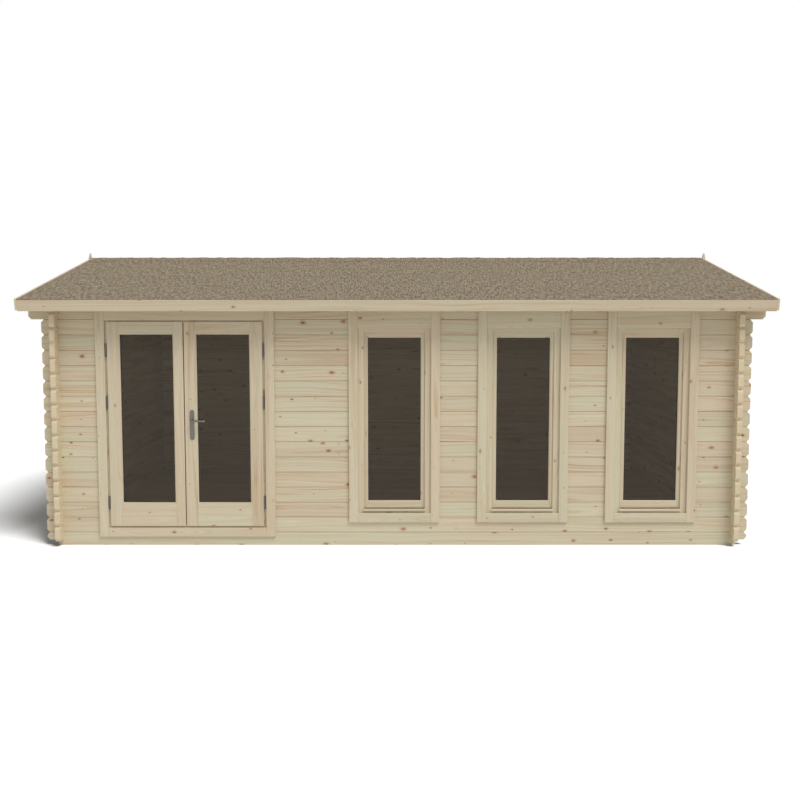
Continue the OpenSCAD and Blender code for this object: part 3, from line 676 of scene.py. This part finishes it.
def roof_trim(front, back):
    """Eave boards, and verge boards with mitred tops."""
    edge = Boards(41)
    for slope, node in ((front, "fascia_front"), (back, "fascia_back")):
        local = np.array([slope.place.inverted() @ Vector(p) for p in solids(node)[0]])
        edge.board(local.min(0), local.max(0), 0, EAVE_BEVEL, place=slope.place)
    edge.piece("eave_boards", "cabin", "trim_pine", ["fascia_front", "fascia_back"], TRIM_PINE)
    verge = Boards(42)
    for node in ("verge_boards_left", "verge_boards_right"):
        for half in solids(node):
            slope = front if half[:, 1].mean() < 0 else back
            to_local = slope.place.inverted()
            local = np.array([to_local @ Vector(p) for p in half])
            inner = Vector((0, half[np.abs(half[:, 1]).argmin()][1], slope.top.z))
            cut = (to_local @ inner, to_local.to_3x3() @ (Y * -slope.side))
            verge.board(local.min(0), local.max(0), 1, VERGE_BEVEL, cuts=[cut], place=slope.place)
    verge.piece("verge_boards", "cabin", "trim_pine", ["verge_boards_left", "verge_boards_right"], TRIM_PINE)


# ---------------------------------------------------------------- Door and windows
CASING_BEVEL, LEAF_BEVEL, FRAME_BEVEL = 0.0035, 0.0022, 0.0015


def frame_boards(boards, outer, inner, y0, y1, bevel):
    """Four boards round a rectangle. outer and inner are (x0, z0, x1, z1); the sides run full height."""
    boards.board((outer[0], y0, outer[1]), (inner[0], y1, outer[3]), 2, bevel)
    boards.board((inner[2], y0, outer[1]), (outer[2], y1, outer[3]), 2, bevel)
    if inner[1] > outer[1]:
        boards.board((inner[0], y0, outer[1]), (inner[2], y1, inner[1]), 0, bevel)
    if outer[3] > inner[3]:
        boards.board((inner[0], y0, inner[3]), (inner[2], y1, outer[3]), 0, bevel)


BEAD = 0.011            # width of a glazing bead
BEAD_FLAT = 0.004       # its part that lies flat, before it slants to the glass
BEAD_SLANT = 0.007      # depth of its edge at the glass behind the face of the frame
BEAD_SET = 0.0005       # and of its flat part
PACKING = 0.001         # thickness of the strip beside the edge of the glass
SEAL_HIDDEN, SEAL_SEEN, SEAL_THICK = 0.002, 0.0045, 0.001


def glazed_frame(boards, layers, glass, pane, seals):
    """Stiles, rails, mitred glazing beads and seals round one pane. layers lists (outer rectangle, y0, y1)
    from the front to the back, glass is the rectangle that is seen, and pane is the (y0, y1) of the glass."""
    grown = (glass[0] - BEAD, glass[1] - BEAD, glass[2] + BEAD, glass[3] + BEAD)
    for outer, near, far in layers:
        frame_boards(boards, outer, grown, near, far, LEAF_BEVEL)
    for face, inward, glass_y in ((layers[0][1], 1, pane[0]), (layers[-1][2], -1, pane[1])):
        flat, foot = face + inward * BEAD_SET, face + inward * BEAD_SLANT
        profile = [(0.0, flat), (BEAD_FLAT, flat), (BEAD, foot), (BEAD, glass_y), (0.0, glass_y)]
        boards.moulding(grown, profile)
    boards.moulding(grown, [(0.0, pane[0]), (0.0, pane[1]), (PACKING, pane[1]), (PACKING, pane[0])])
    for face, outward in ((pane[0], -1), (pane[1], 1)):
        raised = face + outward * SEAL_THICK
        seals.moulding(glass, [(-SEAL_HIDDEN, face), (-SEAL_HIDDEN, raised),
                               (SEAL_SEEN, raised), (SEAL_SEEN, face)])


GROOVE = 0.009          # how far the frame hides the edge of its glass


def panes(node):
    """The rectangle (x0, z0, x1, z1) that is seen and the (y0, y1) of each glass in a node."""
    found = []
    for pane in solids(node):
        low, high = pane.min(0), pane.max(0)
        light = (low[0] + GROOVE, low[2] + GROOVE, high[0] - GROOVE, high[2] - GROOVE)
        found.append((light, (low[1], high[1])))
    return found


DRIP_HORN = 0.006       # how far the drip bar runs into the frame's posts
DRIP_TAIL = 0.02        # and back past the face of the frame
DRIP_NOSE = 0.006       # height of the opening above its front edge
DRIP_FALL = (0, -0.45, 1)   # outward normal of its sloping top
STRIP_NEAR, STRIP_FAR, STRIP_DROP = 0.002, 0.014, 0.004     # packing strips, behind the face of the sash


def windows():
    """Trim, frame with its drip bar, sash, seals and packing strips of the three windows."""
    casings, frames, sashes, seals, strips = (Boards(seed) for seed in range(51, 56))
    for casing, window, sash, (light, pane) in zip(solids("window_casings"), solids("window_frames"),
                                                  solids("window_sashes"), panes("window_glass")):
        x, y, z = (levels(casing, axis) for axis in range(3))
        outer = (x[0], z[0], x[-1], z[-1])
        inner = (x[1], z[1], x[-2], z[-2])
        frame_boards(casings, outer, inner, y[0], y[-1], CASING_BEVEL)
        x, y, z = (levels(window, axis) for axis in range(3))
        drip_y, face_y, stop_y, back_y = y[0], y[1], y[-2], y[-1]
        sill, drip_low, light_low, stop_low, stop_top, light_top, head = z
        outer = (x[0], sill, x[-1], head)
        inner = (x[1], light_low, x[-2], light_top)
        frame_boards(frames, outer, inner, face_y, back_y, FRAME_BEVEL)
        frame_boards(frames, inner, (x[2], stop_low, x[-3], stop_top), stop_y, back_y, FRAME_BEVEL)
        drip_start = (x[1] - DRIP_HORN, drip_y, drip_low)
        drip_end = (x[-2] + DRIP_HORN, face_y + DRIP_TAIL, light_low)
        slope = ((0, drip_y, light_low - DRIP_NOSE), Vector(DRIP_FALL))
        frames.board(drip_start, drip_end, 0, FRAME_BEVEL, cuts=[slope])
        low, high = sash.min(0), sash.max(0)
        outer = (low[0], low[2], high[0], high[2])
        glazed_frame(sashes, [(outer, low[1], high[1])], light, pane, seals)
        near, far = low[1] + STRIP_NEAR, low[1] + STRIP_FAR
        for x0, x1 in ((inner[0], outer[0]), (outer[2], inner[2])):
            strips.board((x0, near, inner[1]), (x1, far, inner[3]), 2, 0.0)
        strips.board((outer[0], near, outer[3]), (outer[2], far, inner[3]), 0, 0.0)
        strips.board((outer[0], near + STRIP_DROP, inner[1]), (outer[2], far, outer[1]), 0, 0.0)
    casings.piece("window_trim_boards", "cabin", "trim_pine", ["window_casings"], TRIM_PINE)
    frames.piece("window_frame_members", "cabin", "joinery_pine", ["window_frames"], BOARD_PINE)
    sashes.piece("window_sash_members", "cabin", "joinery_pine", ["window_sashes"], BOARD_PINE)
    seals.piece("window_seals", "cabin", "glazing", (), RUBBER)
    strips.piece("window_packing_strips", "cabin", "joinery_pine", (), BOARD_PINE)


def door_leaf(side, body, seed):
    """One leaf. Its front layer has the lip that covers the frame, its back layer fits between the jambs."""
    leaf, seals = Boards(seed), Boards(seed + 1)
    light, pane = panes(side + "_leaf_glass")[0]
    x, y, z = (levels(solids(side + "_leaf")[0], axis) for axis in range(3))
    lip = (x[0], z[0], x[-1], z[-1])
    shut = (x[1], x[-1]) if side == "left" else (x[0], x[-2])
    inner = (shut[0], z[1], shut[1], z[-2])
    glazed_frame(leaf, [(lip, y[0], y[1]), (inner, y[1], y[-1])], light, pane, seals)
    leaf.piece(side + "_leaf_members", body, "joinery_pine", [side + "_leaf"], BOARD_PINE)
    seals.piece(side + "_leaf_seals", body, "glazing", (), RUBBER)


def door_surround():
    """Trim boards round the door."""
    casing = Boards(61)
    for node, along in (("door_casing_sides", 2), ("door_casing_head", 0), ("door_casing_foot", 0)):
        for solid in solids(node):
            casing.board(solid.min(0), solid.max(0), along, CASING_BEVEL)
    casing.piece("door_trim_boards", "cabin", "trim_pine",
                 ["door_casing_sides", "door_casing_head", "door_casing_foot"], TRIM_PINE)


# ---------------------------------------------------------------- Floor boards
FLOOR_BOARD = 0.09      # cover width of a floor board
FLOOR_JOINTS = (0.32, 0.64, 0.48)       # where the joint of each row lies, as a share of the length
FLOOR_BEVEL = 0.0012


def floor_boards():
    """Boards from wall to wall, each row with one joint."""
    low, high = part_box("floor_deck")
    boards = Boards(71)
    count = round((high.y - low.y) / FLOOR_BOARD)
    wide = (high.y - low.y) / count
    for i in range(count):
        y = low.y + i * wide
        joint = low.x + (high.x - low.x) * FLOOR_JOINTS[i % len(FLOOR_JOINTS)]
        for x0, x1 in ((low.x, joint), (joint, high.x)):
            start = (x0, y + BOARD_GAP / 2, low.z)
            boards.board(start, (x1 - BOARD_GAP, y + wide - BOARD_GAP / 2, high.z), 0, FLOOR_BEVEL)
    boards.piece("floor_boards", "cabin", "floor_pine", ["floor_deck"], BOARD_PINE)


# ---------------------------------------------------------------- Build
BOARD_PINE = board_pine("joinery_pine", knots=0.55, streaks=0.7)
TRIM_PINE = board_pine("trim_pine", knots=0.55, streaks=0.45)
FELT = felt_material()
GLASS = glass_material()
RUBBER = rubber_material()
STEEL = steel_material("handle_steel", rgb(121, 118, 113))
DARK_STEEL = steel_material("hinge_steel", rgb(104, 106, 108))

dress_walls()
dress_carcass()
dress(GLASS, "window_glass", "left_leaf_glass", "right_leaf_glass")
dress(STEEL, "handle_plates", "lever_handle")
dress(DARK_STEEL, "frame_hinges", "left_leaf_hinges", "right_leaf_hinges")
roof_boards("roof_boards_front", "roof_deck_front", 21)
roof_boards("roof_boards_back", "roof_deck_back", 22)
front_slope = felt_sheet("felt_sheet_front", "felt_front", 23)
back_slope = felt_sheet("felt_sheet_back", "felt_back", 24)
ridge_cap(front_slope, back_slope)
roof_trim(front_slope, back_slope)
windows()
door_surround()
door_leaf("left", "left_door", 81)
door_leaf("right", "right_door", 91)
floor_boards()
dress(timber_pine("frame_stiles", "z", "y", ("x", DOOR_MIDDLE - 1.0, 1.0), 11, 0.0), "door_jambs")
dress(timber_pine("frame_rails", "x", "z", ("z", 0.0, 1.0), 12, FACE_Y), "door_head", "door_threshold")
dress(timber_pine("finials", "z", "y", ("x", -5.0, 5.0), 13, 0.0), "gable_finials")

# ---------------------------------------------------------------- Floor, light and camera
FLOOR_REACH = 45.0
FLOOR_GLOW = 0.40       # lit by both suns this is past white, so that only the shadow itself shows
FLOOR_BOUNCE = 0.28     # the floor's paleness for the light it throws on the cabin
DOME_LIGHT = 0.50
KEY_LIGHT, FLOOR_KEY_LIGHT = 1.8, 7.6


def studio_floor():
    """A plain floor that keeps the cabin's shadow."""
    material, g = new_material("studio_floor")
    plain = g.node("ShaderNodeBsdfDiffuse", {"Color": (FLOOR_BOUNCE, FLOOR_BOUNCE, FLOOR_BOUNCE, 1.0)})
    bright = g.node("ShaderNodeBsdfDiffuse", {"Color": (FLOOR_GLOW, FLOOR_GLOW, FLOOR_GLOW, 1.0)})
    surface = g.node("ShaderNodeMixShader", {0: g.seen_directly(), 1: plain.outputs[0], 2: bright.outputs[0]})
    g.node("ShaderNodeOutputMaterial", {"Surface": surface.outputs[0]})
    mesh = bpy.data.meshes.new("studio_floor")
    r = FLOOR_REACH
    mesh.from_pydata([(-r, -r, 0), (r, -r, 0), (r, r, 0), (-r, r, 0)], [], [(0, 1, 2, 3)])
    mesh.materials.append(material)
    floor = bpy.data.objects.new("studio_floor", mesh)
    bpy.context.scene.collection.objects.link(floor)
    return floor


def sun(name, energy, breadth, towards):
    """A soft sun in the direction given, as wide as breadth degrees."""
    lamp = bpy.data.lights.new(name, "SUN")
    lamp.energy = energy
    lamp.angle = math.radians(breadth)
    made = bpy.data.objects.new(name, lamp)
    bpy.context.scene.collection.objects.link(made)
    made.rotation_euler = (-towards).to_track_quat("-Z", "Y").to_euler()
    return made


def studio_light(floor):
    """A white dome, a soft sun for everything and a stronger one that lights the floor alone."""
    world = bpy.data.worlds.new("studio")
    bpy.context.scene.world = world
    world.use_nodes = True
    world.node_tree.nodes.clear()
    g = Graph(world.node_tree)
    dome = g.node("ShaderNodeBackground", {"Color": (1.0, 1.0, 1.0, 1.0), "Strength": DOME_LIGHT})
    white = g.node("ShaderNodeBackground", {"Color": (1.0, 1.0, 1.0, 1.0), "Strength": 1.0})
    mixed = g.node("ShaderNodeMixShader", {0: g.seen_directly(), 1: dome.outputs[0], 2: white.outputs[0]})
    g.node("ShaderNodeOutputWorld", {"Surface": mixed.outputs[0]})
    sun("key", KEY_LIGHT, 30, Vector((0.37, -0.44, 0.82)))
    group = bpy.data.collections.new("lit_by_floor_key")
    group.objects.link(floor)
    shadow_maker = sun("floor_key", FLOOR_KEY_LIGHT, 25, Vector((0.37, -0.40, 0.84)))
    shadow_maker.light_linking.receiver_collection = group


CAMERA_PLACE = (0.0, -10.441, 2.009)
CAMERA_DOWN = 5.08      # degrees below level


def camera():
    """The eye that the cabin is seen from, square to its front."""
    data = bpy.data.cameras.new("camera")
    data.lens = 45.45
    data.sensor_width = 36.0
    data.shift_x = 0.00375
    data.clip_end = 200.0
    eye = bpy.data.objects.new("camera", data)
    bpy.context.scene.collection.objects.link(eye)
    eye.location = CAMERA_PLACE
    eye.rotation_euler = (math.radians(90 - CAMERA_DOWN), 0, 0)
    bpy.context.scene.camera = eye


studio_light(studio_floor())
camera()
bpy.context.scene.view_settings.view_transform = "Standard"
